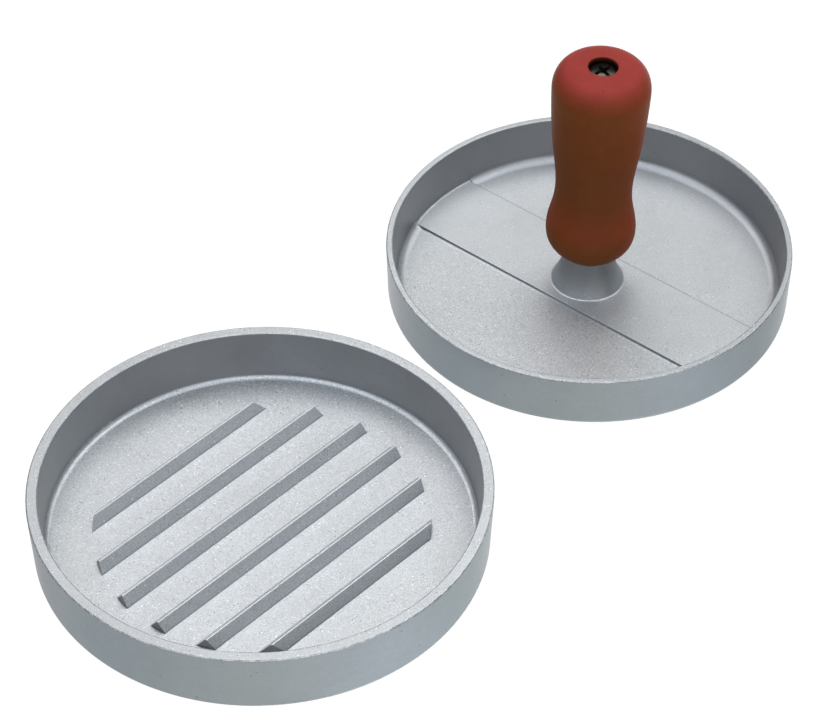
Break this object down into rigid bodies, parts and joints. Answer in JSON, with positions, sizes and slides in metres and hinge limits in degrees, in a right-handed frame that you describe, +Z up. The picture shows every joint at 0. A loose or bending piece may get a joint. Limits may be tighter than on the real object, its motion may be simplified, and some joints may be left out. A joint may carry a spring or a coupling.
{
  "type": "burger press",
  "caption": "Round burger press in two cast parts: a shallow dish with raised ridges on its floor, and a flat rimmed press plate with an upright turned handle",
  "frame": {"origin": "middle of the dish's flat underside, on the table", "axes": "+Z up. The press stands beside the dish towards +X and +Y, as in the picture, which looks along +Y and down"},
  "size_m": [0.2047, 0.2133, 0.0779],
  "materials": {
    "cast_aluminium": "bare cast aluminium, grainy floors and rims, smoother walls",
    "handle_wood": "turned wood, opaque red-brown satin stain",
    "black_steel": "blackened steel, semi-gloss"
  },
  "bodies": {
    "dish": {"base_dish": "cast_aluminium"},
    "press": {"press_plate": "cast_aluminium"},
    "grip": {"handle": "handle_wood"},
    "screw": {"handle_screw": "black_steel"}
  },
  "joints": [
    {"name": "press_lift", "type": "slide", "parent": "dish", "child": "press", "axis": [0, 0, 1], "range_m": [0, 0.1]},
    {"name": "handle_rise", "type": "slide", "parent": "press", "child": "grip", "axis": [0.0232, 0, 0.9997], "range_m": [0, 0.0084]},
    {"name": "screw_turn", "type": "hinge", "parent": "grip", "child": "screw", "pos_m": [0.08818, 0.09678, 0.013], "axis": [0.0232, 0, 0.9997], "range_deg": [0, 4320]}
  ],
  "couplings": [
    {"joint": "screw_turn", "follows": "handle_rise", "rad_per_m": 8976}
  ]
}
